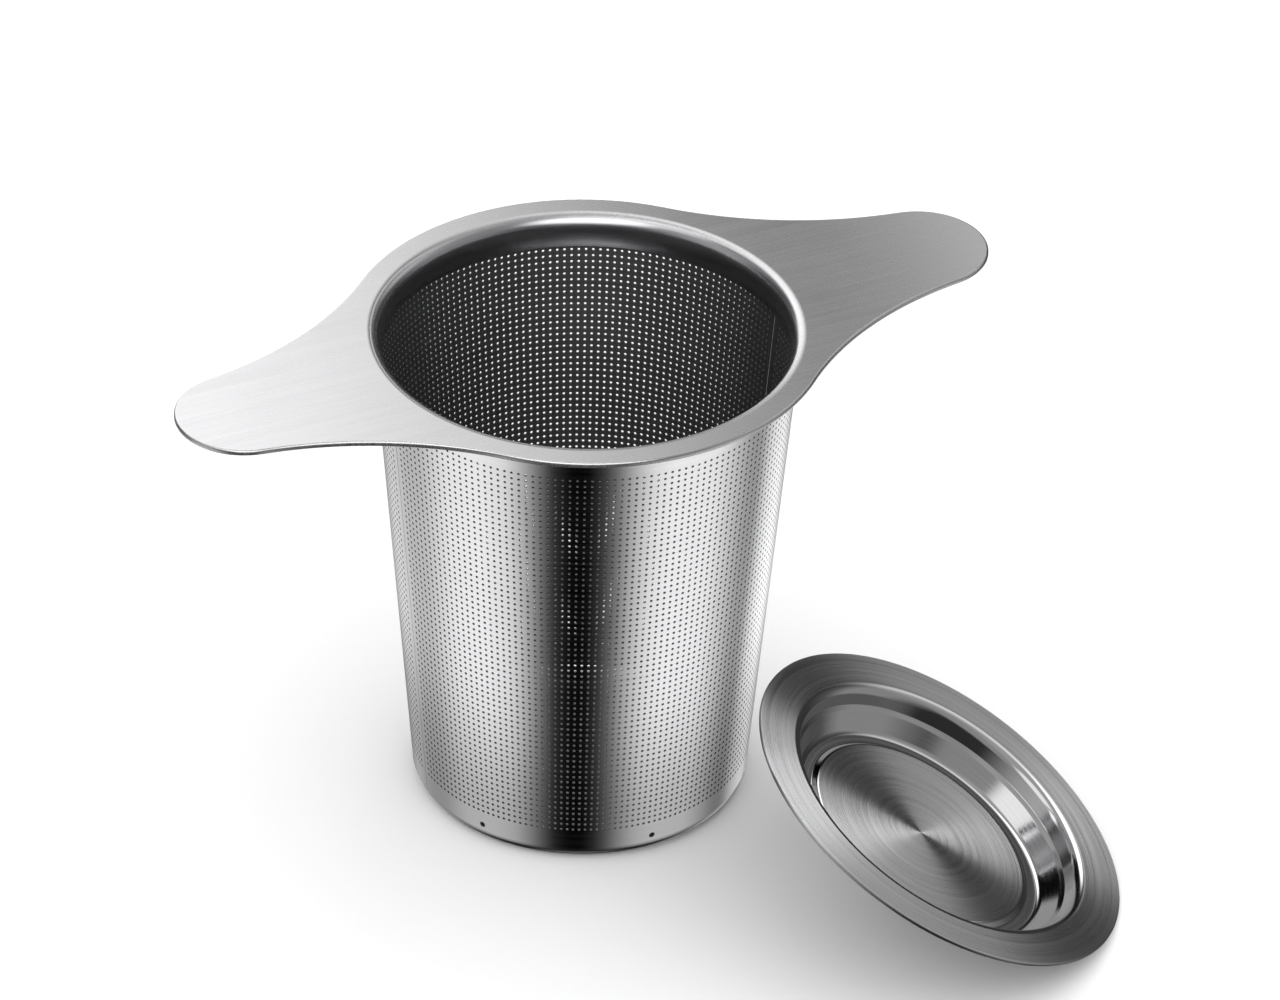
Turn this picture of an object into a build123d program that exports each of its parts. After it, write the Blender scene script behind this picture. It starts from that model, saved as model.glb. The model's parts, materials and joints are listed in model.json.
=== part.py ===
from build123d import *
import math
import os

os.makedirs("parts", exist_ok=True)

# ---------------------------------------------------------------- dimensions (mm)
# whole basket
basket_height = 90.0            # table to the top face of the rim plate

# rim plate with its two rest wings
plate_thickness = 1.0
ring_outer_radius = 41.0
wing_tip_radius = 11.8          # round end of a wing
wing_tip_centre = 63.0          # from the basket's axis to the centre of that round end
wing_blend_radius = 65.0        # concave sweep from the ring out to the wing's end
plate_edge_round = 0.35

# drawn neck in the middle of the plate
neck_inner_radius = 35.0
neck_wall = 0.6
neck_depth = 5.9                # lower edge of the neck, below the plate's top face
shoulder_radius = 2.2           # rounding from the plate's top face into the neck
under_radius = 0.9              # rounding from the neck out to the plate's underside

# tapered wall, made of two half sheets
wall_thickness = 0.3
wall_base_radius = 28.9         # outer radius, carried down to the table
wall_taper = 4.8                # degrees from vertical
wall_lower_edge = 2.4
wall_upper_edge = 88.85         # just under the rounding on the plate's underside
seam_gap = 0.1                  # width of the butt seam between the two sheets

# bottom cap
cap_thickness = 0.5
cap_corner_radius = 2.2
cap_skirt_top = 5.3

# lid, in its own frame: height 0 is the flange's top face
lid_radius = 36.0
lid_thickness = 0.7
lid_edge_round = 0.25
lid_mouth_radius = 27.7         # upper wall carried up to the flange's top face
lid_crease_outer = 26.9         # small ledge half way up the wall
lid_crease_high = 3.3
lid_crease_inner = 26.2
lid_crease_low = 3.9
lid_groove_outer = 24.0
lid_groove_inner = 21.5
lid_groove_depth = 7.2
lid_floor_radius = 20.6
lid_floor_depth = 6.5
lid_bends = (0.9, 0.3, 1.3, 1.0, 0.3, 1.8)      # bend radii from the floor out to the flange
lid_turns = (-1, 1, 1, -1, 1, -1)               # 1 where the bend opens upward, -1 where it opens downward

# the lid leans over on its side next to the basket
lid_centre_x = 39.3
lid_centre_y = -60.6
lid_centre_z = 18.77
lid_tilt = 30.0                 # flange normal from vertical
lid_heading = -28.4             # direction the open side faces, seen from above


def wall_outer(height):
    return wall_base_radius + height * math.tan(math.radians(wall_taper))


def wall_inner(height):
    return wall_outer(height) - wall_thickness / math.cos(math.radians(wall_taper))


# ---------------------------------------------------------------- rim plate
top = basket_height
underside = basket_height - plate_thickness
neck_outer_radius = neck_inner_radius + neck_wall
web_radius = ring_outer_radius - 2.0

# centre of the concave sweep, tangent to the ring and to the wing's round end
ring_reach = ring_outer_radius + wing_blend_radius
tip_reach = wing_tip_radius + wing_blend_radius
blend_x = (ring_reach**2 - tip_reach**2 + wing_tip_centre**2) / (2 * wing_tip_centre)
blend_y = math.sqrt(ring_reach**2 - blend_x**2)
ring_touch = Vector(blend_x, blend_y) * (ring_outer_radius / ring_reach)
tip_side = Vector(blend_x - wing_tip_centre, blend_y) * (wing_tip_radius / tip_reach)
tip_touch = Vector(wing_tip_centre, 0) + tip_side
blend_centre = Vector(blend_x, blend_y)
sweep_side = ((ring_touch + tip_touch) * 0.5 - blend_centre).normalized()
sweep_middle = blend_centre + sweep_side * wing_blend_radius

with BuildPart() as rim_plate:
    with BuildSketch(Plane.XY.offset(underside)):
        with BuildLine():
            for side in (1, -1):
                ThreePointArc(
                    (side * tip_touch.X, tip_touch.Y),
                    (side * (wing_tip_centre + wing_tip_radius), 0),
                    (side * tip_touch.X, -tip_touch.Y),
                )
                for flip in (1, -1):
                    ThreePointArc(
                        (side * ring_touch.X, flip * ring_touch.Y),
                        (side * sweep_middle.X, flip * sweep_middle.Y),
                        (side * tip_touch.X, flip * tip_touch.Y),
                    )
            for flip in (1, -1):
                ThreePointArc(
                    (-ring_touch.X, flip * ring_touch.Y),
                    (0, flip * ring_outer_radius),
                    (ring_touch.X, flip * ring_touch.Y),
                )
        make_face()
        Circle(web_radius, mode=Mode.SUBTRACT)
    extrude(amount=plate_thickness)
    plate_rims = rim_plate.faces().sort_by(Axis.Z)
    rim_edges = plate_rims[0].outer_wire().edges() + plate_rims[-1].outer_wire().edges()
    fillet(rim_edges, radius=plate_edge_round)
    # inner web, rounded shoulder and drawn neck
    with BuildSketch(Plane.XZ):
        with BuildLine():
            Polyline(
                (neck_inner_radius + shoulder_radius, top),
                (web_radius, top),
                (web_radius, underside),
                (neck_outer_radius + under_radius, underside),
            )
            RadiusArc(
                (neck_outer_radius + under_radius, underside),
                (neck_outer_radius, underside - under_radius),
                -under_radius,
            )
            Polyline(
                (neck_outer_radius, underside - under_radius),
                (neck_outer_radius, top - neck_depth),
                (neck_inner_radius, top - neck_depth),
                (neck_inner_radius, top - shoulder_radius),
            )
            RadiusArc(
                (neck_inner_radius, top - shoulder_radius),
                (neck_inner_radius + shoulder_radius, top),
                shoulder_radius,
            )
        make_face()
    revolve(axis=Axis.Z)
rim_plate.part.label = "rim_plate"
export_step(rim_plate.part, "parts/rim_plate.step")


# ---------------------------------------------------------------- wall sheets
def half_turn_plane(start):
    """Upright plane through the axis, its X pointing outward at the start angle."""
    a = math.radians(start)
    return Plane(origin=(0, 0, 0), x_dir=(math.cos(a), math.sin(a), 0), z_dir=(math.sin(a), -math.cos(a), 0))


half_seam = math.degrees(seam_gap / 2 / wall_base_radius)
sheet_turn = 180 - 2 * half_seam

with BuildPart() as back_wall_sheet:
    with BuildSketch(half_turn_plane(half_seam)):
        with BuildLine():
            Polyline(
                (wall_inner(wall_lower_edge), wall_lower_edge),
                (wall_outer(wall_lower_edge), wall_lower_edge),
                (wall_outer(wall_upper_edge), wall_upper_edge),
                (wall_inner(wall_upper_edge), wall_upper_edge),
                close=True,
            )
        make_face()
    revolve(axis=Axis.Z, revolution_arc=sheet_turn)
back_wall_sheet.part.label = "back_wall_sheet"
export_step(back_wall_sheet.part, "parts/back_wall_sheet.step")

with BuildPart() as front_wall_sheet:
    with BuildSketch(half_turn_plane(180 + half_seam)):
        with BuildLine():
            Polyline(
                (wall_inner(wall_lower_edge), wall_lower_edge),
                (wall_outer(wall_lower_edge), wall_lower_edge),
                (wall_outer(wall_upper_edge), wall_upper_edge),
                (wall_inner(wall_upper_edge), wall_upper_edge),
                close=True,
            )
        make_face()
    revolve(axis=Axis.Z, revolution_arc=sheet_turn)
front_wall_sheet.part.label = "front_wall_sheet"
export_step(front_wall_sheet.part, "parts/front_wall_sheet.step")


# ---------------------------------------------------------------- bottom cap
cap_inner_corner = cap_corner_radius - cap_thickness
cap_side = wall_inner(cap_corner_radius)

with BuildPart() as bottom_cap:
    with BuildSketch(Plane.XZ):
        with BuildLine():
            Line((0, 0), (cap_side - cap_corner_radius, 0))
            RadiusArc(
                (cap_side - cap_corner_radius, 0),
                (cap_side, cap_corner_radius),
                -cap_corner_radius,
            )
            Polyline(
                (cap_side, cap_corner_radius),
                (wall_inner(cap_skirt_top), cap_skirt_top),
                (wall_inner(cap_skirt_top) - cap_thickness, cap_skirt_top),
                (cap_side - cap_thickness, cap_corner_radius),
            )
            RadiusArc(
                (cap_side - cap_thickness, cap_corner_radius),
                (cap_side - cap_corner_radius, cap_thickness),
                cap_inner_corner,
            )
            Polyline(
                (cap_side - cap_corner_radius, cap_thickness),
                (0, cap_thickness),
                (0, 0),
            )
        make_face()
    revolve(axis=Axis.Z)
bottom_cap.part.label = "bottom_cap"
export_step(bottom_cap.part, "parts/bottom_cap.step")


# ---------------------------------------------------------------- lid
tilt = math.radians(lid_tilt)
heading = math.radians(lid_heading)
lid_normal = Vector(math.sin(tilt) * math.cos(heading), math.sin(tilt) * math.sin(heading), math.cos(tilt))
lid_radial = Vector(-math.sin(heading), math.cos(heading), 0)
lid_origin = Vector(lid_centre_x, lid_centre_y, lid_centre_z)
lid_section = Plane(origin=lid_origin, x_dir=lid_radial, z_dir=lid_radial.cross(lid_normal))
lid_axis = Axis(lid_origin, lid_normal)


def sheet_underside(corners, thickness):
    """Corners of the line that runs one sheet thickness below the given line."""
    points = [Vector(*corner) for corner in corners]
    lower = [points[0] - Vector(0, thickness)]
    for before, here, after in zip(points, points[1:], points[2:]):
        arriving = (here - before).normalized()
        leaving = (after - here).normalized()
        below = Vector(arriving.Y + leaving.Y, -arriving.X - leaving.X).normalized()
        reach = thickness / below.dot(Vector(arriving.Y, -arriving.X))
        lower.append(here + below * reach)
    lower.append(points[-1] - Vector(0, thickness))
    return lower


# floor, groove, lower wall, crease, upper wall, shoulder, flange
lid_line = [
    (0, -lid_floor_depth),
    (lid_floor_radius, -lid_floor_depth),
    (lid_groove_inner, -lid_groove_depth),
    (lid_groove_outer, -lid_groove_depth),
    (lid_crease_inner, -lid_crease_low),
    (lid_crease_outer, -lid_crease_high),
    (lid_mouth_radius, 0),
    (lid_radius, 0),
]
lid_underline = sheet_underside(lid_line, lid_thickness)
lid_under_bends = [bend + turn * lid_thickness for bend, turn in zip(lid_bends, lid_turns)]

with BuildPart() as lid:
    with BuildSketch(lid_section):
        with BuildLine():
            FilletPolyline(*lid_line, radius=lid_bends)
            FilletPolyline(*lid_underline, radius=lid_under_bends)
            Line(lid_line[0], lid_underline[0])
            Line(lid_line[-1], lid_underline[-1])
        make_face()
    revolve(axis=lid_axis)
    flange_rims = lid.edges().filter_by(GeomType.CIRCLE).group_by(SortBy.RADIUS)[-1]
    fillet(flange_rims, radius=lid_edge_round)
lid.part.label = "lid"
export_step(lid.part, "parts/lid.step")
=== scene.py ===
import json
import math

import bpy
import numpy as np
from mathutils import Matrix, Vector
from mathutils.geometry import delaunay_2d_cdt


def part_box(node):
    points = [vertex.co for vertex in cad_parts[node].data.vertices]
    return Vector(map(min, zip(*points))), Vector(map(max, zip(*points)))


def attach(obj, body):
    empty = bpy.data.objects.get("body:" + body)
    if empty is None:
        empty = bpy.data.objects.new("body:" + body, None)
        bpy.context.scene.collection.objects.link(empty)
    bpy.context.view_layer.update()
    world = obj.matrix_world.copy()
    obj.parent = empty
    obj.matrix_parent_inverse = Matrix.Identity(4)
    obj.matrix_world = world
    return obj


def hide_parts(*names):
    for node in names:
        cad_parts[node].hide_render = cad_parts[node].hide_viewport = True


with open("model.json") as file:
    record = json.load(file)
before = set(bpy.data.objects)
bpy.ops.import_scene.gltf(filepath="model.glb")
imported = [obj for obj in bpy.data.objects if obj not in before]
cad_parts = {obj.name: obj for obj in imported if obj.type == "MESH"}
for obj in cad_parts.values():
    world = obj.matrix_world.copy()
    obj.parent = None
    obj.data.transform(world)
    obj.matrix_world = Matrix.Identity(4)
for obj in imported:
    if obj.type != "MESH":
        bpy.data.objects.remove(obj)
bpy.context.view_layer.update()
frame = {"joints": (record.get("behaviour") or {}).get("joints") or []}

MM = 0.001

# ------------------------------------------------------------------ places and sizes, in metres
plate_low, plate_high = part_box("rim_plate")
sheet_low, sheet_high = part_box("front_wall_sheet")
cap_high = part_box("bottom_cap")[1]
lid_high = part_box("lid")[1]
lid_axis = Vector(frame["joints"][0]["axis"]).normalized()

# rim plate
TOP = plate_high.z              # its top face
PLATE = 1.0 * MM                # thickness
RING = plate_high.y             # outer radius of the ring
WING_TIP = 11.8 * MM            # radius of a wing's round end
WING_CENTRE = plate_high.x - WING_TIP
WING_SWEEP = 65.0 * MM          # radius of the hollow curve from the ring into a wing
EDGE = 0.35 * MM                # rounding of the outer edge
NECK = 35.0 * MM                # inner radius
NECK_WALL = 0.6 * MM
NECK_BOTTOM = plate_low.z
NECK_EDGE = 0.05 * MM           # blunting of the neck's lower edge
SHOULDER = 2.2 * MM             # rounding from the top face into the neck
UNDER = 0.9 * MM                # rounding from the neck's outside into the underside
FLAT_ROW = 1.0 * MM             # a row of points this far into a flat face
NEAR = 0.04 * MM                # a row this close to a bend keeps the shading on the bend
LONG = 0.6 * MM                 # straight runs of a turned profile that get such rows
OUTLINE_POINTS = 1080

# perforated wall, made of two half sheets
TAPER = math.radians(4.8)
WALL = 0.3 * MM                 # thickness
WALL_TOP = sheet_high.z
WALL_BOTTOM = sheet_low.z
WALL_BASE = -sheet_low.y - WALL_TOP * math.tan(TAPER)
SEAM = 0.1                      # degrees from the seam to a sheet's edge
EDGE_ROW = 0.1 * MM             # a row of points this close to a sheet's upper and lower edge
COLUMN_STEP = 2.0               # degrees between hole columns
FIRST_COLUMN = 3.0              # degrees from the seam to the first column of the back sheet
FRONT_COLUMN = 2.6              # the same on the front sheet
ROWS = 66
ROW_STEP = 1.18 * MM            # along the slope
FIRST_ROW = 83.1 * MM           # height of the top row
HOLE = 0.25 * MM                # radius
HOLE_CORNER = HOLE * math.sqrt(2 * math.pi / (3 * math.sqrt(3)))   # of the hexagon with the same area
HOLE_TURNS = [60.0 * k for k in range(6)]
WELD_HEIGHT = 3.6 * MM
WELD_STEP = math.radians(60)
WELD_CORE = 0.40 * MM           # a spot weld is fully dark inside this radius
WELD_RIM = 0.65 * MM            # and gone outside this one

# bottom cap
CAP_CORNER = 2.2 * MM
CAP_THICK = 0.5 * MM
CAP_FIELD = 24.0 * MM           # its holes stay inside this radius
CAP_POINTS = 256

# lid
LID_R = 36.0 * MM
LID_T = 0.7 * MM
LID_EDGE = 0.25 * MM            # rounding of the flange's edge
LID_FLOOR = 20.4 * MM           # outside this the dish wall is polished
LID_MOUTH = 29.6 * MM           # outside this the flange is brushed
LID_POINTS = 480
# corners of the lid's upper side (radius, height in mm), and the bend and its sense at each inner one
LID_LINE = [(0, -6.5), (20.6, -6.5), (21.5, -7.2), (24.0, -7.2), (26.2, -3.9), (26.9, -3.3), (27.7, 0),
            (36.0, 0)]
LID_BENDS = [(0.9, -1), (0.3, 1), (1.3, 1), (1.0, -1), (0.3, 1), (1.8, -1)]


def lid_reach(k):
    """How far the lid reaches beyond its centre along a world axis whose part of the lid's axis is k."""
    rounding = LID_EDGE if k > 0 else LID_T - LID_EDGE
    return (LID_R - LID_EDGE) * math.sqrt(1 - k * k) + LID_EDGE - k * rounding


# the flange's rounded edge reaches furthest along every axis, so the lid's centre follows from its box
lid_centre = lid_high - Vector([lid_reach(k) for k in lid_axis])
lid_across = Vector((-lid_axis.y, lid_axis.x, 0)).normalized()
lid_along = lid_axis.cross(lid_across)


# ------------------------------------------------------------------ mesh helpers
def new_piece(name, verts, faces, materials, indices=None, flat=None, normals=None):
    """A mesh object. flat marks faces shaded flat, normals gives the others a direction for each corner."""
    mesh = bpy.data.meshes.new(name)
    mesh.from_pydata(verts, [], faces)
    mesh.validate()
    for material in materials:
        mesh.materials.append(material)
    if indices is not None:
        mesh.polygons.foreach_set("material_index", np.asarray(indices, np.int32))
    smooth = np.ones(len(mesh.polygons), bool)
    if flat is not None:
        smooth[np.asarray(flat, bool)] = False
    mesh.polygons.foreach_set("use_smooth", smooth)
    mesh.update()
    if normals is not None:
        mesh.normals_split_custom_set(corner_normals(mesh, smooth, normals))
    piece = bpy.data.objects.new(name, mesh)
    bpy.context.scene.collection.objects.link(piece)
    return piece


def corner_normals(mesh, smooth, direction):
    """One normal per corner: direction(points, material) on smooth faces, the face's own on flat ones."""
    corner_vertex = np.empty(len(mesh.loops), np.int32)
    mesh.loops.foreach_get("vertex_index", corner_vertex)
    counts = np.empty(len(mesh.polygons), np.int32)
    mesh.polygons.foreach_get("loop_total", counts)
    own = np.empty(len(mesh.polygons) * 3, np.float32)
    mesh.polygons.foreach_get("normal", own)
    slots = np.empty(len(mesh.polygons), np.int32)
    mesh.polygons.foreach_get("material_index", slots)
    points = np.empty(len(mesh.vertices) * 3, np.float32)
    mesh.vertices.foreach_get("co", points)
    face = np.repeat(np.arange(len(counts)), counts)
    wanted = direction(points.reshape(-1, 3)[corner_vertex], slots[face])
    return np.where(smooth[face][:, None], wanted, own.reshape(-1, 3)[face]).tolist()


def settle(piece, body, node):
    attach(piece, body)
    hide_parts(node)


def arc(centre, radius, start, end, steps):
    """Points on an arc in a profile plane, angles in degrees."""
    turns = np.radians(np.linspace(start, end, steps + 1))
    return [(centre[0] + radius * math.cos(t), centre[1] + radius * math.sin(t)) for t in turns]


def rounded_line(corners, radii, steps):
    """The polyline through corners with its inner corners rounded."""
    points = [corners[0]]
    for before, here, after, radius in zip(corners, corners[1:], corners[2:], radii):
        b, h, a = (np.array(p, float) for p in (before, here, after))
        back, on = (b - h) / np.linalg.norm(b - h), (a - h) / np.linalg.norm(a - h)
        half = math.acos(float(np.clip(back @ on, -1, 1))) / 2
        reach = radius / math.tan(half)
        middle = (back + on) / np.linalg.norm(back + on)
        centre = h + middle * radius / math.sin(half)
        first, last = h + back * reach, h + on * reach
        t0 = math.atan2(*(first - centre)[::-1])
        t1 = math.atan2(*(last - centre)[::-1])
        turn = (t1 - t0 + math.pi) % (2 * math.pi) - math.pi
        for k in range(steps + 1):
            t = t0 + turn * k / steps
            points.append((centre[0] + radius * math.cos(t), centre[1] + radius * math.sin(t)))
    points.append(corners[-1])
    return points


def supported(profile):
    """Adds a point close to each end of every long straight run, so that shading stays on the bends."""
    out = [profile[0]]
    for p, q in zip(profile, profile[1:]):
        length = math.hypot(q[0] - p[0], q[1] - p[1])
        if length > LONG:
            for share in (NEAR / length, 1 - NEAR / length):
                out.append((p[0] + (q[0] - p[0]) * share, p[1] + (q[1] - p[1]) * share))
        out.append(q)
    return out


def turned(profile, count):
    """Turns an open profile of (radius, height) about Z. Points on the axis become one vertex."""
    verts, rings = [], []
    angles = np.linspace(0, 2 * math.pi, count, endpoint=False)
    for r, z in profile:
        if r < 1e-9:
            rings.append([len(verts)])
            verts.append((0, 0, z))
            continue
        rings.append(list(range(len(verts), len(verts) + count)))
        verts += [(r * math.cos(t), r * math.sin(t), z) for t in angles]
    faces = []
    for a, b in zip(rings, rings[1:]):
        for i in range(count):
            j = (i + 1) % count
            if len(a) == 1:
                faces.append((b[j], b[i], a[0]))
            elif len(b) == 1:
                faces.append((a[j], b[0], a[i]))
            else:
                faces.append((a[j], b[j], b[i], a[i]))
    return verts, faces


# ------------------------------------------------------------------ material helpers
class Nodes:
    """Short names for building a node tree."""

    def __init__(self, tree):
        self.tree = tree
        tree.nodes.clear()

    def add(self, kind, **values):
        node = self.tree.nodes.new(kind)
        for key, value in values.items():
            setattr(node, key, value)
        return node

    def put(self, socket, value):
        if isinstance(value, bpy.types.NodeSocket):
            self.tree.links.new(value, socket)
        else:
            socket.default_value = value

    def math(self, operation, a, b=0.0):
        node = self.add("ShaderNodeMath", operation=operation)
        self.put(node.inputs[0], a)
        self.put(node.inputs[1], b)
        return node.outputs[0]

    def hypot(self, a, b):
        return self.math("SQRT", self.math("ADD", self.math("MULTIPLY", a, a), self.math("MULTIPLY", b, b)))

    def vector(self, operation, a, b=(0.0, 0.0, 0.0)):
        node = self.add("ShaderNodeVectorMath", operation=operation)
        self.put(node.inputs[0], a)
        self.put(node.inputs[1], b)
        return node.outputs["Value" if operation in ("DOT_PRODUCT", "LENGTH") else 0]

    def scaled(self, vector, factor):
        node = self.add("ShaderNodeVectorMath", operation="SCALE")
        self.put(node.inputs[0], tuple(vector))
        self.put(node.inputs["Scale"], factor)
        return node.outputs[0]

    def split(self, vector):
        node = self.add("ShaderNodeSeparateXYZ")
        self.put(node.inputs[0], vector)
        return node.outputs[0], node.outputs[1], node.outputs[2]

    def join(self, x, y, z):
        node = self.add("ShaderNodeCombineXYZ")
        for socket, value in zip(node.inputs, (x, y, z)):
            self.put(socket, value)
        return node.outputs[0]

    def remap(self, value, low, high, to_low, to_high, smooth=False):
        node = self.add("ShaderNodeMapRange", interpolation_type="SMOOTHSTEP" if smooth else "LINEAR")
        for socket, v in zip(node.inputs, (value, low, high, to_low, to_high)):
            self.put(socket, v)
        return node.outputs[0]

    def noise(self, vector, scale, detail, roughness):
        node = self.add("ShaderNodeTexNoise")
        self.put(node.inputs["Vector"], vector)
        node.inputs["Scale"].default_value = scale
        node.inputs["Detail"].default_value = detail
        node.inputs["Roughness"].default_value = roughness
        return node.outputs["Fac"]

    def mix_colour(self, factor, a, b):
        node = self.add("ShaderNodeMix", data_type="RGBA")
        self.put(node.inputs[0], factor)
        self.put(node.inputs[6], a)
        self.put(node.inputs[7], b)
        return node.outputs[2]

    def ramp(self, value, stops):
        node = self.add("ShaderNodeValToRGB")
        self.put(node.inputs[0], value)
        elements = node.color_ramp.elements
        while len(elements) > 1:
            elements.remove(elements[-1])
        elements[0].position = stops[0][0]
        elements[0].color = grey(stops[0][1])
        for position, level in stops[1:]:
            elements.new(position).color = grey(level)
        return node.outputs[0]

    def place(self):
        return self.add("ShaderNodeTexCoord").outputs["Object"]


def grey(level):
    return (level, level, level, 1)


def new_material(name):
    material = bpy.data.materials.new(name)
    material.use_nodes = True
    return material, Nodes(material.node_tree)


# ------------------------------------------------------------------ steel
# noise cells per metre along and across straight brushing
STRAIGHT_ALONG = 34.0
STRAIGHT_ACROSS = 2400.0
# cells per radian along turned brushing, per metre across it, and how much faster they pass along the axis
TURNED_ALONG = 0.7
TURNED_ACROSS = 3600.0
TURNED_HEIGHT = 1.7
CLOUD_SCALE = 55.0
BUMP_DISTANCE = 0.00005
# spot welds: their own tint plus painted shade standing in for their unmodelled dimples
WELD_TINT_AND_SHADE_COLOUR = (0.02, 0.02, 0.022, 1)


def straight_grain(n, x, y, z):
    """Coordinates of noise stretched along X, and the brushing direction."""
    line = n.join(n.math("MULTIPLY", x, STRAIGHT_ALONG), n.math("MULTIPLY", y, STRAIGHT_ACROSS),
                  n.math("MULTIPLY", z, STRAIGHT_ACROSS))
    return line, n.join(1.0, 0.0, 0.0)


def turned_grain(n, x, y, z, x_axis, y_axis):
    """Coordinates of noise stretched round the piece's axis, and the brushing direction."""
    radius = n.hypot(x, y)
    cos_turn = n.math("DIVIDE", x, n.math("MAXIMUM", radius, 1e-5))
    sin_turn = n.math("DIVIDE", y, n.math("MAXIMUM", radius, 1e-5))
    across = n.math("ADD", radius, n.math("MULTIPLY", z, TURNED_HEIGHT))
    line = n.join(n.math("MULTIPLY", cos_turn, TURNED_ALONG), n.math("MULTIPLY", sin_turn, TURNED_ALONG),
                  n.math("MULTIPLY", across, TURNED_ACROSS))
    return line, n.vector("ADD", n.scaled(y_axis, cos_turn), n.scaled(-x_axis, sin_turn))


def steel(name, colour, roughness, anisotropy, straight=False, streak=0.10, rough_streak=0.06,
          bump=0.02, smudge=0.04, spots=None, about=None):
    """Brushed steel, brushed in circles unless straight. spots gives the share of dark marks.
    about is (centre, x axis, y axis, z axis) of the turned piece, the basket's own axis if None."""
    material, n = new_material(name)
    out = n.add("ShaderNodeOutputMaterial")
    shader = n.add("ShaderNodeBsdfPrincipled", distribution="GGX")
    n.put(out.inputs[0], shader.outputs[0])
    place = n.place()
    x_axis, y_axis = Vector((1, 0, 0)), Vector((0, 1, 0))
    if about is not None:
        centre, x_axis, y_axis, z_axis = about
        offset = n.vector("SUBTRACT", place, tuple(centre))
        place = n.join(*(n.vector("DOT_PRODUCT", offset, tuple(a)) for a in (x_axis, y_axis, z_axis)))
    x, y, z = n.split(place)
    if straight:
        line, grain_way = straight_grain(n, x, y, z)
    else:
        line, grain_way = turned_grain(n, x, y, z, x_axis, y_axis)

    fine = n.noise(line, 1.0, 4.0, 0.6)
    coarse = n.noise(line, 0.23, 2.0, 0.5)
    cloud = n.noise(place, CLOUD_SCALE, 3.0, 0.55)
    grain = n.math("ADD", n.math("MULTIPLY", fine, 0.6), n.math("MULTIPLY", coarse, 0.4))
    shade = n.math("ADD", n.remap(grain, 0.3, 0.7, 1 - streak, 1 + streak * 0.35),
                   n.remap(cloud, 0.3, 0.75, -smudge, smudge * 0.3))
    base = n.scaled(colour, shade)
    if spots is not None:
        base = n.mix_colour(spots(n, x, y, z), base, WELD_TINT_AND_SHADE_COLOUR)
    rough = n.math("ADD", n.remap(grain, 0.3, 0.7, roughness - rough_streak, roughness + rough_streak),
                   n.remap(cloud, 0.35, 0.7, 0.0, smudge * 0.6))
    n.put(shader.inputs["Base Color"], base)
    n.put(shader.inputs["Roughness"], rough)
    shader.inputs["Metallic"].default_value = 1.0
    shader.inputs["Anisotropic"].default_value = anisotropy
    # a quarter turn, because the highlight spreads across the brushing
    shader.inputs["Anisotropic Rotation"].default_value = 0.25
    turn = n.add("ShaderNodeVectorTransform", vector_type="VECTOR", convert_from="OBJECT", convert_to="WORLD")
    n.put(turn.inputs[0], grain_way)
    n.put(shader.inputs["Tangent"], turn.outputs[0])
    lift = n.add("ShaderNodeBump")
    lift.inputs["Strength"].default_value = bump
    lift.inputs["Distance"].default_value = BUMP_DISTANCE
    n.put(lift.inputs["Height"], grain)
    n.put(shader.inputs["Normal"], lift.outputs[0])
    return material


def weld_dots(n, x, y, z):
    """Six spot welds around the foot of the wall, 60 degrees apart: near-black dots that paint the welds' own
    tint together with the shade of their dimples, which the wall has no shape for.
    """
    turn = n.math("FRACT", n.math("DIVIDE", n.math("ARCTAN2", y, x), WELD_STEP))
    aside = n.math("MULTIPLY", n.math("SUBTRACT", turn, 0.5), WELD_STEP * WALL_BASE)
    above = n.math("SUBTRACT", z, WELD_HEIGHT)
    return n.remap(n.hypot(aside, above), WELD_CORE, WELD_RIM, 1.0, 0.0, True)


plate_steel = steel("plate_steel", (0.74, 0.74, 0.75), 0.26, 0.95, straight=True, streak=0.07,
                    rough_streak=0.04)
neck_steel = steel("neck_steel", (0.60, 0.60, 0.62), 0.22, 0.5, streak=0.05)
sheet_steel = steel("sheet_steel", (0.86, 0.86, 0.87), 0.17, 0.5, streak=0.04, bump=0.01, spots=weld_dots)
# painted shade: the wall's inner skin and the holes' walls get a much darker copy of the sheet steel,
# standing in for the shade inside the basket
sheet_inside_painted_shade = steel("sheet_inside_painted_shade", (0.26, 0.26, 0.265), 0.46, 0.3, streak=0.05)
cap_steel = steel("cap_steel", (0.70, 0.70, 0.71), 0.22, 0.4, streak=0.05)
lid_frame = (lid_centre, lid_across, lid_along, lid_axis)
lid_steel = steel("lid_steel", (0.74, 0.74, 0.75), 0.28, 0.95, streak=0.22, about=lid_frame)
lid_wall_steel = steel("lid_wall_steel", (0.74, 0.74, 0.75), 0.13, 0.3, streak=0.08, smudge=0.02,
                       about=lid_frame)


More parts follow.
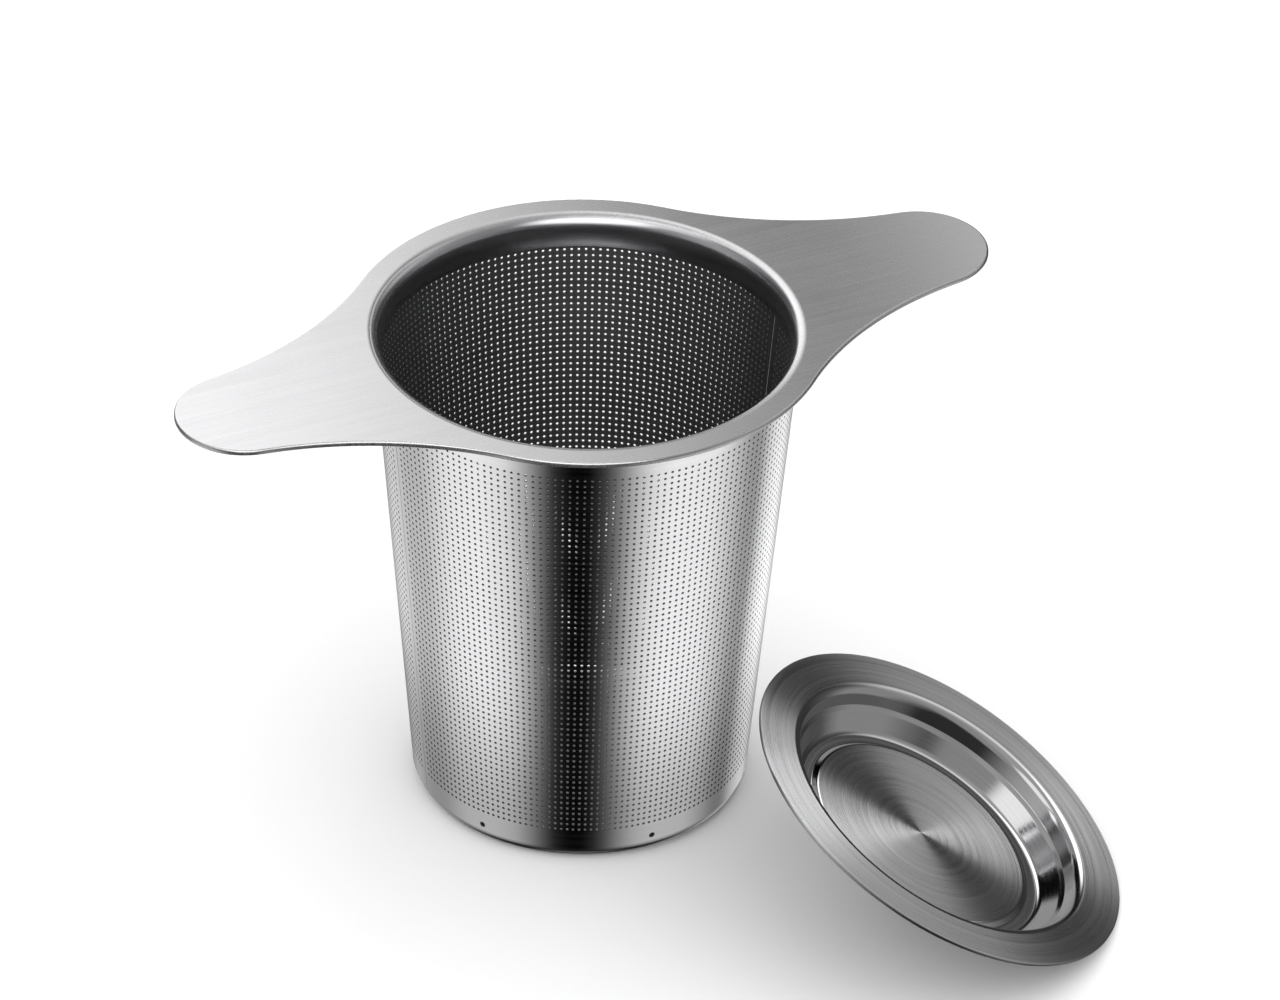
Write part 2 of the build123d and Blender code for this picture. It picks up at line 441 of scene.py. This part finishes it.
# ------------------------------------------------------------------ rim plate
def plate_outline(count):
    """Points of the plate's outline and the outward direction at each, by polar angle."""
    ring_reach = RING + WING_SWEEP
    tip_reach = WING_TIP + WING_SWEEP
    # centre of the hollow curve, tangent to the ring and to the wing's round end
    bx = (ring_reach**2 - tip_reach**2 + WING_CENTRE**2) / (2 * WING_CENTRE)
    by = math.sqrt(ring_reach**2 - bx**2)
    ring_turn = math.atan2(by, bx)
    tx = WING_CENTRE + (bx - WING_CENTRE) * WING_TIP / tip_reach
    ty = by * WING_TIP / tip_reach
    tip_turn = math.atan2(ty, tx)
    points, normals = [], []
    for k in range(count):
        t = 2 * math.pi * k / count
        c, s = math.cos(t), math.sin(t)
        # all four quarters are mirror images of the first
        fold = math.atan2(abs(s), abs(c))
        fx, fy = math.cos(fold), math.sin(fold)
        if fold >= ring_turn:
            r, nx, ny = RING, fx, fy
        elif fold >= tip_turn:
            b = fx * bx + fy * by
            r = b - math.sqrt(b * b - (bx * bx + by * by - WING_SWEEP**2))
            nx, ny = (bx - fx * r) / WING_SWEEP, (by - fy * r) / WING_SWEEP
        else:
            b = fx * WING_CENTRE
            r = b + math.sqrt(b * b - (WING_CENTRE**2 - WING_TIP**2))
            nx, ny = (fx * r - WING_CENTRE) / WING_TIP, fy * r / WING_TIP
        points.append((r * c, r * s))
        outward_x = math.copysign(nx, c) if nx >= 0 else -math.copysign(abs(nx), c)
        normals.append((outward_x, math.copysign(ny, s)))
    return np.array(points), np.array(normals)


def plate_rows(count):
    """Closed rings of points round the plate's section, from the outer edge over the top into the neck."""
    outline, outward = plate_outline(count)
    turns = 2 * math.pi * np.arange(count) / count
    circle = np.c_[np.cos(turns), np.sin(turns)]
    under = TOP - PLATE
    outside = NECK + NECK_WALL
    rows = []

    def outer(inset, z):
        rows.append(np.c_[outline - outward * inset, np.full(count, z)])

    def inner(radius, z):
        rows.append(np.c_[circle * radius, np.full(count, z)])

    for a in np.radians(np.linspace(0, 90, 7)):
        outer(EDGE * (1 - math.cos(a)), TOP - EDGE + EDGE * math.sin(a))
    outer(EDGE + NEAR, TOP)
    outer(EDGE + FLAT_ROW, TOP)
    inner(NECK + SHOULDER + FLAT_ROW, TOP)
    inner(NECK + SHOULDER + NEAR, TOP)
    for r, z in arc((NECK + SHOULDER, TOP - SHOULDER), SHOULDER, 90, 180, 12):
        inner(r, z)
    inner(NECK, TOP - SHOULDER - NEAR)
    inner(NECK, NECK_BOTTOM + NEAR)
    inner(NECK + NECK_EDGE, NECK_BOTTOM)
    inner(outside - NECK_EDGE, NECK_BOTTOM)
    inner(outside, NECK_BOTTOM + NEAR)
    inner(outside, under - UNDER - NEAR)
    for r, z in arc((outside + UNDER, under - UNDER), UNDER, 180, 90, 6):
        inner(r, z)
    inner(outside + UNDER + NEAR, under)
    outer(EDGE + FLAT_ROW, under)
    outer(EDGE + NEAR, under)
    for a in np.radians(np.linspace(90, 0, 7)):
        outer(EDGE * (1 - math.cos(a)), under + EDGE - EDGE * math.sin(a))
    return rows


def is_neck(row, after):
    """Whether the band between two rows of the plate belongs to its turned neck."""
    middle = (row.mean(0)[2] + after.mean(0)[2]) / 2
    reach = max(np.hypot(r[:, 0], r[:, 1]).max() for r in (row, after))
    if reach < NECK + SHOULDER * 0.5:
        return True
    return reach < NECK + NECK_WALL + UNDER + NEAR * 0.5 and middle < TOP - PLATE


def build_plate():
    count = OUTLINE_POINTS
    rows = plate_rows(count)
    faces, index = [], []
    for k, row in enumerate(rows):
        following = (k + 1) % len(rows)
        a, b = k * count, following * count
        faces += [(a + i, a + (i + 1) % count, b + (i + 1) % count, b + i) for i in range(count)]
        index += [int(is_neck(row, rows[following]))] * count
    verts = np.concatenate(rows).tolist()
    piece = new_piece("rim_plate_pressing", verts, faces, [plate_steel, neck_steel], index)
    settle(piece, "basket", "rim_plate")
    return piece


# ------------------------------------------------------------------ perforated wall sheets
OUTER, INNER = 0, 1             # the wall's skins, and the slots of their materials


def wall_radius(z, skin):
    """Radius of a skin at height z."""
    return WALL_BASE + z * math.tan(TAPER) - skin * WALL / math.cos(TAPER)


def wall_direction(points, slots):
    """Smooth normals of the tapered wall, outward on the outer skin and inward on the inner one."""
    out = np.c_[points[:, 0], points[:, 1], np.zeros(len(points))]
    out *= (math.cos(TAPER) / np.linalg.norm(out, axis=1))[:, None]
    out[:, 2] = -math.sin(TAPER)
    return out * np.where(slots == OUTER, 1, -1)[:, None]


class Sheet:
    """A half sheet of the wall while it is put together. start is its seam's direction in degrees."""

    def __init__(self, start):
        self.start = start
        self.verts, self.faces, self.index, self.flat = [], [], [], []

    def point(self, turn, z, skin):
        r = wall_radius(z, skin)
        t = math.radians(self.start + turn)
        self.verts.append((r * math.cos(t), r * math.sin(t), z))
        return len(self.verts) - 1

    def grid(self, turns, levels, skin):
        return [[self.point(turn, z, skin) for turn in turns] for z in levels]

    def skin_face(self, ids, skin):
        self.faces.append(tuple(ids) if skin == OUTER else tuple(reversed(ids)))
        self.index.append(skin)
        self.flat.append(False)

    def edge_face(self, ids, slot):
        self.faces.append(tuple(ids))
        self.index.append(slot)
        self.flat.append(True)

    def hole(self, turn, height, cells):
        """A hexagonal through hole in the middle of a cell, given as the cell's corners on each skin."""
        rims = []
        for skin, (tl, tr, br, bl) in enumerate(cells):
            h = []
            for t in np.radians(HOLE_TURNS):
                z = height + HOLE_CORNER * math.sin(t) * math.cos(TAPER)
                aside = math.degrees(HOLE_CORNER * math.cos(t) / wall_radius(height, OUTER))
                h.append(self.point(turn + aside, z, skin))
            rims.append(h)
            self.skin_face((tl, h[2], h[1], tr), skin)
            self.skin_face((br, h[5], h[4], bl), skin)
            self.skin_face((tr, h[1], h[0], h[5], br), skin)
            self.skin_face((bl, h[4], h[3], h[2], tl), skin)
        out, into = rims
        for k in range(6):
            m = (k + 1) % 6
            # the holes' walls take the inner skin's slot, with its painted shade
            self.edge_face((into[k], into[m], out[m], out[k]), INNER)


def build_sheet(name, node, start, first_hole):
    """One half of the wall. first_hole is the turn from the seam to the first column of holes, in degrees."""
    drop = ROW_STEP * math.cos(TAPER)
    columns = int(round((180 - 2 * FIRST_COLUMN) / COLUMN_STEP)) + 1
    first = first_hole - COLUMN_STEP / 2
    turns = [SEAM] + [first + COLUMN_STEP * k for k in range(columns + 1)] + [180 - SEAM]
    heights = [FIRST_ROW + drop / 2 - drop * k for k in range(ROWS + 1)]
    levels = [WALL_TOP, WALL_TOP - EDGE_ROW] + heights + [WALL_BOTTOM + EDGE_ROW, WALL_BOTTOM]
    # the holes' cells start behind the plain rows at the top and the plain strip at the seam
    first_row, first_column = 2, 1
    sheet = Sheet(start)
    grids = [sheet.grid(turns, levels, skin) for skin in (OUTER, INNER)]
    last, end = len(levels) - 1, len(turns) - 1
    for i in range(last):
        for j in range(end):
            cells = [(g[i][j], g[i][j + 1], g[i + 1][j + 1], g[i + 1][j]) for g in grids]
            if first_row <= i < first_row + ROWS and first_column <= j < first_column + columns:
                height = FIRST_ROW - drop * (i - first_row)
                sheet.hole(first_hole + COLUMN_STEP * (j - first_column), height, cells)
                continue
            for skin, (tl, tr, br, bl) in enumerate(cells):
                sheet.skin_face((tl, bl, br, tr), skin)
    out, into = grids
    for j in range(end):
        sheet.edge_face((out[0][j], out[0][j + 1], into[0][j + 1], into[0][j]), OUTER)
        sheet.edge_face((out[last][j], into[last][j], into[last][j + 1], out[last][j + 1]), OUTER)
    for i in range(last):
        sheet.edge_face((out[i][0], into[i][0], into[i + 1][0], out[i + 1][0]), OUTER)
        sheet.edge_face((out[i][end], out[i + 1][end], into[i + 1][end], into[i][end]), OUTER)
    piece = new_piece(name, sheet.verts, sheet.faces, [sheet_steel, sheet_inside_painted_shade], sheet.index, sheet.flat,
                      wall_direction)
    settle(piece, "basket", node)
    return piece


# ------------------------------------------------------------------ bottom cap
def cap_hole_centres():
    """A square grid of holes with the wall's row step."""
    steps = int(CAP_FIELD / ROW_STEP)
    span = range(-steps, steps + 1)
    return [(i * ROW_STEP, j * ROW_STEP) for i in span for j in span
            if math.hypot(i, j) * ROW_STEP < CAP_FIELD]


def perforated_disc(edge_circle):
    """Triangles between a circle and the holes in it: all points, the triangles and the number of holes."""
    plan = [Vector(p) for p in edge_circle]
    count = len(plan)
    edges = [(k, (k + 1) % count) for k in range(count)]
    owner = [-1] * count
    centres = cap_hole_centres()
    for k, (x, y) in enumerate(centres):
        begin = len(plan)
        plan += [Vector((x + HOLE_CORNER * math.cos(math.radians(a)),
                         y + HOLE_CORNER * math.sin(math.radians(a)))) for a in HOLE_TURNS]
        edges += [(begin + m, begin + (m + 1) % 6) for m in range(6)]
        owner += [k] * 6
    _, _, pieces, sources, _, _ = delaunay_2d_cdt(plan, edges, [], 0, 1e-7)
    triangles = []
    for piece in pieces:
        ids = [sources[v][0] for v in piece]
        inside_hole = owner[ids[0]] >= 0 and len({owner[v] for v in ids}) == 1
        if inside_hole:
            continue
        if (plan[ids[1]] - plan[ids[0]]).cross(plan[ids[2]] - plan[ids[0]]) < 0:
            ids.reverse()
        triangles.append(ids)
    return plan, triangles, len(centres)


def build_cap():
    disc = wall_radius(CAP_CORNER, INNER) - CAP_CORNER
    skirt = cap_high.z
    skirt_r = wall_radius(skirt, INNER)
    profile = arc((disc, CAP_CORNER), CAP_CORNER, 270, 360, 10)
    profile += [(skirt_r, skirt), (skirt_r - CAP_THICK, skirt)]
    profile += arc((disc, CAP_CORNER), CAP_CORNER - CAP_THICK, 360, 270, 6)
    verts, faces = turned(supported(profile), CAP_POINTS)
    flat = [False] * len(faces)
    # the disc's edge circle is shared with the first and last ring of the profile
    plan, triangles, holes = perforated_disc([v[:2] for v in verts[:CAP_POINTS]])
    low = list(range(CAP_POINTS))
    high = list(range(len(verts) - CAP_POINTS, len(verts)))
    for x, y in plan[CAP_POINTS:]:
        low.append(len(verts))
        high.append(len(verts) + 1)
        verts += [(x, y, 0.0), (x, y, CAP_THICK)]
    for ids in triangles:
        faces += [tuple(high[v] for v in ids), tuple(low[v] for v in reversed(ids))]
    for k in range(holes):
        begin = CAP_POINTS + 6 * k
        for m in range(6):
            a, b = begin + m, begin + (m + 1) % 6
            faces.append((low[a], high[a], high[b], low[b]))
    flat += [True] * (len(faces) - len(flat))
    piece = new_piece("bottom_cap_pressing", verts, faces, [cap_steel], flat=flat)
    settle(piece, "basket", "bottom_cap")
    return piece


# ------------------------------------------------------------------ lid
def sheet_underside(corners, thickness):
    """The line at a constant thickness below a line of corners."""
    points = [Vector(c) for c in corners]
    lower = [points[0] - Vector((0, thickness))]
    for before, here, after in zip(points, points[1:], points[2:]):
        arriving, leaving = (here - before).normalized(), (after - here).normalized()
        below = Vector((arriving.y + leaving.y, -arriving.x - leaving.x)).normalized()
        lower.append(here + below * thickness / below.dot(Vector((arriving.y, -arriving.x))))
    lower.append(points[-1] - Vector((0, thickness)))
    return [tuple(p) for p in lower]


def build_lid():
    line = [(r * MM, z * MM) for r, z in LID_LINE]
    bends = [radius * MM for radius, sense in LID_BENDS]
    under_bends = [radius * MM + sense * LID_T for radius, sense in LID_BENDS]
    upper = rounded_line(line, bends, 8)[:-1]
    lower = rounded_line(sheet_underside(line, LID_T), under_bends, 6)[:-1]
    rim = arc((LID_R - LID_EDGE, -LID_EDGE), LID_EDGE, 90, 0, 5)
    rim += arc((LID_R - LID_EDGE, LID_EDGE - LID_T), LID_EDGE, 0, -90, 5)
    profile = supported(upper + rim + lower[::-1])
    verts, faces = turned(profile, LID_POINTS)
    reach = [math.hypot(x, y) for x, y, z in verts]
    index = [int(LID_FLOOR < sum(reach[v] for v in f) / len(f) < LID_MOUTH) for f in faces]
    verts = [tuple(lid_centre + lid_across * x + lid_along * y + lid_axis * z) for x, y, z in verts]
    piece = new_piece("lid_pressing", verts, faces, [lid_steel, lid_wall_steel], index)
    settle(piece, "lid", "lid")
    piece.visible_glossy = False
    return piece


plate = build_plate()
back_sheet = build_sheet("back_sheet_perforated", "back_wall_sheet", 0.0, FIRST_COLUMN)
front_sheet = build_sheet("front_sheet_perforated", "front_wall_sheet", 180.0, FRONT_COLUMN)
cap = build_cap()
lid = build_lid()
basket_pieces = (plate, back_sheet, front_sheet, cap)


# ------------------------------------------------------------------ camera
VIEW_TURN = math.radians(25.983)        # the wings' direction seen from the camera
VIEW_ELEVATION = math.radians(34.122)
VIEW_ROLL = math.radians(1.183)
VIEW_DISTANCE = 1.678
AIM_RIGHT = 0.00975
AIM_UP = 0.00826
AIM_HEIGHT = 0.045
LENS = 274.95
SENSOR = 36.0

to_view = Matrix.Rotation(-VIEW_TURN, 3, "Z")


def build_camera():
    forward = to_view @ Vector((0, math.cos(VIEW_ELEVATION), -math.sin(VIEW_ELEVATION)))
    right = to_view @ Vector((1, 0, 0))
    up = right.cross(forward)
    right, up = (right * math.cos(VIEW_ROLL) + up * math.sin(VIEW_ROLL),
                 up * math.cos(VIEW_ROLL) - right * math.sin(VIEW_ROLL))
    aim = Vector((0, 0, AIM_HEIGHT)) + right * AIM_RIGHT + up * AIM_UP
    camera = bpy.data.objects.new("camera", bpy.data.cameras.new("camera"))
    bpy.context.scene.collection.objects.link(camera)
    turn = Matrix((right, up, -forward)).transposed().to_4x4()
    camera.matrix_world = Matrix.Translation(aim - forward * VIEW_DISTANCE) @ turn
    camera.data.lens = LENS
    camera.data.sensor_width = SENSOR
    camera.data.clip_start = 0.05
    camera.data.clip_end = 50.0
    bpy.context.scene.camera = camera


# ------------------------------------------------------------------ floor and studio
# In the studio's numbers, turn 0 is toward the camera and positive turns go to its right, in degrees.
FLOOR_HALF = 6.0
FLOOR_COLOUR = (0.93, 0.93, 0.93, 1)

# (turn, brightness) round the deep, low, middle and high parts of the studio
DEEP_STOPS = [(-180, 0.1), (-50, 0.1), (-20, 0.0), (20, 0.0), (50, 0.12), (180, 0.12)]
LOW_STOPS = [(-180, 0.15), (-168, 0.5), (-150, 0.85), (-125, 0.52), (-108, 0.52), (-86, 0.92), (-64, 0.98),
             (-46, 0.80), (-27, 0.20), (-18, 0.03), (-8, 0.0), (4, 0.0), (12, 0.04), (20, 0.18), (30, 0.50),
             (42, 0.85), (55, 0.98), (81, 0.92), (98, 0.52), (108, 0.28), (120, 0.22), (132, 0.9), (150, 1.4),
             (166, 0.8), (180, 0.15)]
MIDDLE_STOPS = [(-180, 0.3), (-150, 0.4), (-128, 0.08), (-102, 0.08), (-80, 0.5), (-50, 0.4), (-20, 0.03),
                (25, 0.03), (60, 0.3), (95, 0.3), (115, 0.10), (134, 0.04), (172, 0.04), (180, 0.3)]
HIGH_STOPS = [(-180, 0.5), (-150, 0.5), (-120, 0.25), (-70, 0.5), (-35, 0.3), (60, 0.3), (95, 0.4),
              (112, 0.65), (126, 0.85), (142, 0.85), (157, 0.3), (168, 0.08), (180, 0.35)]
ZENITH = 0.4
NADIR = 0.02
STRAIGHT_DOWN = 0.35
DOME = 1.65                     # what lights the matt floor, apart from what the steel mirrors

# heights of a unit direction between which one part of the studio fades into the next
LOW_TO_MIDDLE = (-0.60, -0.42)
MIDDLE_TO_HIGH = (0.28, 0.48)
HIGH_TO_ZENITH = (0.75, 0.92)
NADIR_TO_LOW = (-0.96, -0.84)
DOWN_TO_NADIR = (-0.995, -0.96)
BOWL_FOOT = (-0.88, -0.76)

# a round panel in the sky: turn, height, full and faded radius, all in degrees, and brightness
PANEL_TURN, PANEL_RISE = -55, 60
PANEL_FULL, PANEL_FADED = 12, 24
PANEL_LEVEL = 1.1

BOWL_RADIUS = 1.2
BOWL_AROUND = 96
BOWL_DOWN = 24
BOWL_TOP_DIP, BOWL_DIP_RANGE = 2, 86    # degrees below the horizon

CARD_DISTANCE = 0.45
CARD_HALF_WIDTH = 0.36
CARD_HALF_HEIGHT = 0.25
CARD_SLANT = 0.53
CARD_SPAN = 0.4
# (metres across the card, brightness)
CARD_STOPS = [(-0.20, 1.75), (-0.09, 1.7), (-0.05, 1.22), (-0.014, 0.92), (0.014, 0.58), (0.03, 0.36),
              (0.052, 0.12), (0.066, 0.12), (0.085, 0.6), (0.10, 1.0), (0.13, 0.8), (0.17, 0.2), (0.20, 0.05)]

# direction in degrees (turn, height), distance, half size and brightness of the round cards
SIDE_CARD = (158, 46, 0.22, 0.085, 2.2)
FRONT_CARD = (0, 42, 0.80, 0.55, 1.8)

SHADE_HEIGHT = 0.0001
SHADE_RADIUS = 0.075
SHADE_POINTS = 96
SHADE_FADE = (0.034, 0.072)     # distances from the axis
SHADE_LEVEL = 0.50


def new_staged_mesh(name, verts, faces, material):
    mesh = bpy.data.meshes.new(name)
    mesh.from_pydata(verts, [], faces)
    mesh.materials.append(material)
    panel = bpy.data.objects.new(name, mesh)
    bpy.context.scene.collection.objects.link(panel)
    return panel


def new_square(name, centre, side, lift, half_width, half_height, material):
    corners = [centre + side * (half_width * a) + lift * (half_height * b)
               for a, b in ((-1, -1), (1, -1), (1, 1), (-1, 1))]
    return new_staged_mesh(name, [tuple(c) for c in corners], [(0, 1, 2, 3)], material)


def build_floor():
    paint, n = new_material("floor_paper")
    out = n.add("ShaderNodeOutputMaterial")
    shader = n.add("ShaderNodeBsdfPrincipled")
    n.put(out.inputs[0], shader.outputs[0])
    shader.inputs["Base Color"].default_value = FLOOR_COLOUR
    shader.inputs["Roughness"].default_value = 0.9
    shader.inputs["Specular IOR Level"].default_value = 0.1
    origin, x_axis, y_axis = Vector((0, 0, 0)), Vector((1, 0, 0)), Vector((0, 1, 0))
    floor = new_square("floor", origin, x_axis, y_axis, FLOOR_HALF, FLOOR_HALF, paint)
    floor.visible_glossy = False


def from_camera(n, way):
    """A direction turned so that -Y is toward the camera, its turn as a share of the circle, its height."""
    rotate = n.add("ShaderNodeVectorRotate", rotation_type="Z_AXIS")
    n.put(rotate.inputs["Vector"], way)
    rotate.inputs["Angle"].default_value = VIEW_TURN
    x, y, z = n.split(rotate.outputs[0])
    turn = n.math("DIVIDE", n.math("ARCTAN2", x, n.math("MULTIPLY", y, -1.0)), 2 * math.pi)
    return rotate.outputs[0], n.math("ADD", turn, 0.5), z


def shares(stops):
    """Stops with their turns as shares of the circle, as from_camera gives them."""
    return [((degrees + 180.0) / 360.0, level) for degrees, level in stops]


def direction(turn_degrees, rise_degrees):
    """The unit direction with this turn and height, in from_camera's frame."""
    t, r = math.radians(turn_degrees), math.radians(rise_degrees)
    return math.sin(t) * math.cos(r), -math.cos(t) * math.cos(r), math.sin(r)


def build_world():
    """A studio of soft panels, which the camera itself sees as plain white."""
    world = bpy.data.worlds.new("studio")
    bpy.context.scene.world = world
    world.use_nodes = True
    n = Nodes(world.node_tree)
    out = n.add("ShaderNodeOutputWorld")
    shine = n.add("ShaderNodeBackground")
    n.put(out.inputs[0], shine.outputs[0])
    way, turn, z = from_camera(n, n.add("ShaderNodeTexCoord").outputs["Generated"])

    def fade(edges, below, above):
        return n.mix_colour(n.remap(z, *edges, 0.0, 1.0, True), below, above)

    level = fade(LOW_TO_MIDDLE, n.ramp(turn, shares(DEEP_STOPS)), n.ramp(turn, shares(MIDDLE_STOPS)))
    level = fade(NADIR_TO_LOW, grey(NADIR), level)
    level = fade(DOWN_TO_NADIR, grey(STRAIGHT_DOWN), level)
    level = fade(MIDDLE_TO_HIGH, level, n.ramp(turn, shares(HIGH_STOPS)))
    level = fade(HIGH_TO_ZENITH, level, grey(ZENITH))
    cosine = n.vector("DOT_PRODUCT", way, direction(PANEL_TURN, PANEL_RISE))
    faded, full = math.cos(math.radians(PANEL_FADED)), math.cos(math.radians(PANEL_FULL))
    level = n.mix_colour(n.remap(cosine, faded, full, 0.0, 1.0, True), level, grey(PANEL_LEVEL))
    path = n.add("ShaderNodeLightPath")
    level = n.mix_colour(path.outputs["Is Diffuse Ray"], level, grey(DOME))
    level = n.mix_colour(path.outputs["Is Camera Ray"], level, grey(1.0))
    n.put(shine.inputs[0], level)
    shine.inputs[1].default_value = 1.0


def add_glow(n, colour, strength):
    """Output of a see-through surface that adds light."""
    out = n.add("ShaderNodeOutputMaterial")
    light = n.add("ShaderNodeEmission")
    clear = n.add("ShaderNodeBsdfTransparent")
    both = n.add("ShaderNodeAddShader")
    n.put(light.inputs["Color"], colour)
    n.put(light.inputs["Strength"], strength)
    n.put(both.inputs[0], clear.outputs[0])
    n.put(both.inputs[1], light.outputs[0])
    n.put(out.inputs[0], both.outputs[0])


def add_veil(n, colour, strength, share):
    """Output of a surface that covers what is behind it with its own light, by this share."""
    out = n.add("ShaderNodeOutputMaterial")
    light = n.add("ShaderNodeEmission")
    clear = n.add("ShaderNodeBsdfTransparent")
    blend = n.add("ShaderNodeMixShader")
    n.put(light.inputs["Color"], colour)
    n.put(light.inputs["Strength"], strength)
    n.put(blend.inputs[0], share)
    n.put(blend.inputs[1], clear.outputs[0])
    n.put(blend.inputs[2], light.outputs[0])
    n.put(out.inputs[0], blend.outputs[0])


def only_reflected(panel, pieces=None):
    """Stages a panel that is seen only in reflections, on these pieces or, without any given, on all."""
    panel.visible_camera = False
    panel.visible_diffuse = False
    panel.visible_shadow = False
    if pieces is not None:
        lights = bpy.data.collections.new(panel.name + "_lights")
        for piece in pieces:
            lights.objects.link(piece)
        panel.light_linking.receiver_collection = lights


def build_bowl():
    """The low part of the studio, as a wide bowl whose light reaches the basket only. It blocks nothing."""
    verts, faces = [], []
    for i in range(BOWL_DOWN + 1):
        dip = math.radians(BOWL_TOP_DIP + BOWL_DIP_RANGE * i / BOWL_DOWN)
        for k in range(BOWL_AROUND):
            t = 2 * math.pi * k / BOWL_AROUND
            r = BOWL_RADIUS * math.cos(dip)
            verts.append((r * math.cos(t), r * math.sin(t), -BOWL_RADIUS * math.sin(dip)))
    for i in range(BOWL_DOWN):
        a, b = i * BOWL_AROUND, (i + 1) * BOWL_AROUND
        for k in range(BOWL_AROUND):
            m = (k + 1) % BOWL_AROUND
            faces.append((a + k, a + m, b + m, b + k))
    glow, n = new_material("low_bowl_glow")
    _, turn, z = from_camera(n, n.vector("NORMALIZE", n.place()))
    # a ramp holds levels up to 1, so it takes half of each and the mask doubles them
    level = n.ramp(turn, [(position, level / 2) for position, level in shares(LOW_STOPS)])
    mask = n.math("MULTIPLY", n.remap(z, *LOW_TO_MIDDLE, 1.0, 0.0, True),
                  n.remap(z, *BOWL_FOOT, 0.0, 2.0, True))
    add_glow(n, level, mask)
    only_reflected(new_staged_mesh("low_bowl", verts, faces, glow), basket_pieces)


def build_card():
    """A soft panel behind the plate, seen only in reflections, with its brightness in slanted bands."""
    way = to_view @ Vector((0, math.cos(VIEW_ELEVATION), math.sin(VIEW_ELEVATION)))
    side = to_view @ Vector((1, 0, 0))
    lift = side.cross(way)
    centre = Vector((0, 0, TOP)) + way * CARD_DISTANCE
    glow, n = new_material("card_glow")
    place = n.vector("SUBTRACT", n.place(), tuple(centre))
    across = n.vector("DOT_PRODUCT", place, tuple(side))
    upward = n.vector("DOT_PRODUCT", place, tuple(lift))
    band = n.math("SUBTRACT", across, n.math("MULTIPLY", upward, CARD_SLANT))
    # half levels again, doubled by the strength
    stops = [(0.5 + metres / CARD_SPAN, level / 2) for metres, level in CARD_STOPS]
    level = n.ramp(n.math("ADD", n.math("MULTIPLY", band, 1 / CARD_SPAN), 0.5), stops)
    across, upward = n.math("ABSOLUTE", across), n.math("ABSOLUTE", upward)
    fade_across = n.remap(across, CARD_HALF_WIDTH * 0.75, CARD_HALF_WIDTH, 1.0, 0.0, True)
    fade_upward = n.remap(upward, CARD_HALF_HEIGHT * 0.7, CARD_HALF_HEIGHT, 1.0, 0.0, True)
    add_veil(n, level, 2.0, n.math("MULTIPLY", fade_across, fade_upward))
    card = new_square("card", centre, side, lift, CARD_HALF_WIDTH, CARD_HALF_HEIGHT, glow)
    only_reflected(card, basket_pieces)


def build_round_card(name, origin, card, pieces):
    """A soft round panel in one direction from a point, lighting only these pieces. It blocks nothing."""
    turn_degrees, rise_degrees, distance, half, level = card
    turn = math.radians(turn_degrees)
    way = to_view @ Vector(direction(turn_degrees, rise_degrees))
    side = to_view @ Vector((-math.cos(turn), -math.sin(turn), 0))
    lift = side.cross(way)
    centre = origin + way * distance
    glow, n = new_material(name + "_glow")
    away = n.vector("LENGTH", n.vector("SUBTRACT", n.place(), tuple(centre)))
    add_glow(n, (1.0, 1.0, 1.0, 1.0), n.remap(away, half * 0.45, half, level, 0.0, True))
    only_reflected(new_square(name, centre, side, lift, half, half, glow), pieces)


def build_foot_shade():
    """The dark contact zone on the table that the wall's foot mirrors, seen only in reflections."""
    verts = [(0, 0, SHADE_HEIGHT)]
    for k in range(SHADE_POINTS):
        t = 2 * math.pi * k / SHADE_POINTS
        verts.append((SHADE_RADIUS * math.cos(t), SHADE_RADIUS * math.sin(t), SHADE_HEIGHT))
    faces = [(0, 1 + k, 1 + (k + 1) % SHADE_POINTS) for k in range(SHADE_POINTS)]
    dark, n = new_material("foot_shade_dark")
    share = n.remap(n.vector("LENGTH", n.place()), *SHADE_FADE, SHADE_LEVEL, 0.0, True)
    add_veil(n, (1.0, 1.0, 1.0, 1.0), 0.0, share)
    only_reflected(new_staged_mesh("foot_shade", verts, faces, dark))


build_camera()
build_floor()
build_world()
build_bowl()
build_card()
build_round_card("side_card", lid_centre, SIDE_CARD, (lid,))
build_round_card("front_card", Vector((0, 0, TOP)), FRONT_CARD, basket_pieces)
build_foot_shade()
bpy.context.scene.view_settings.view_transform = "Standard"
